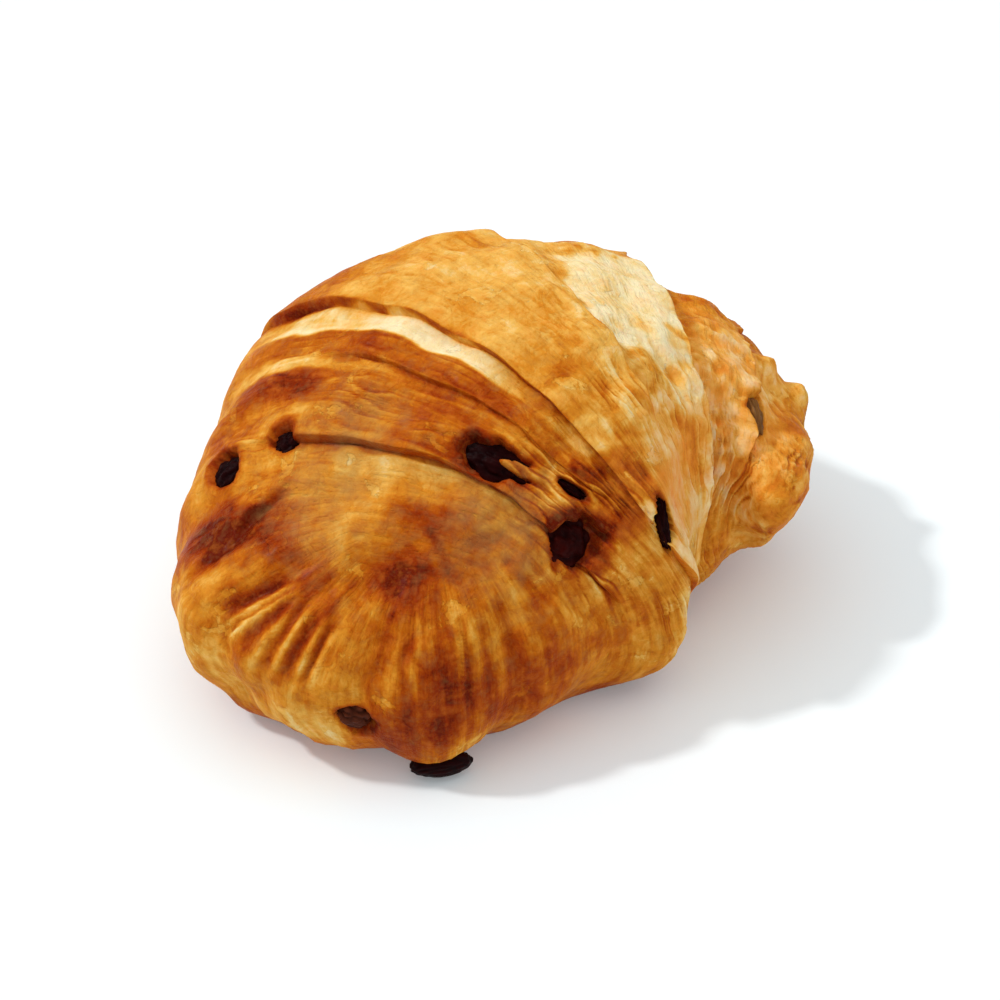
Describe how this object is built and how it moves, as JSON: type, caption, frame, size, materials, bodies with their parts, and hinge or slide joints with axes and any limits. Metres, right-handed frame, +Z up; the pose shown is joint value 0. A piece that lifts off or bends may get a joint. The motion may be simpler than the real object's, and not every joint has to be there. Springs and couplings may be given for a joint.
{
  "type": "raisin swirl pastry",
  "caption": "Baked laminated-dough roll bent into a stubby crescent, with overlapping wraps, pleats fanning down its blunt end, and raisins set in its seams.",
  "frame": {"origin": "middle of the flat underside, on the surface that the pastry rests on", "axes": "+X along the roll towards its narrower tail, +Y towards the crescent's long convex side, +Z up"},
  "size_m": [0.1301, 0.105, 0.069],
  "materials": {
    "crust": "golden to red-brown egg-washed crust, satin, in flaky layers",
    "raisin": "near-black wrinkled raisin, slightly glossy"
  },
  "bodies": {
    "root": {"dough": "crust", "raisin_left_low": "raisin", "raisin_left_high": "raisin", "raisin_top_seam": "raisin", "raisin_slit": "raisin", "raisin_right": "raisin", "raisin_hood": "raisin", "raisin_front": "raisin", "raisin_under_tip": "raisin", "raisin_tail": "raisin"}
  },
  "joints": []
}
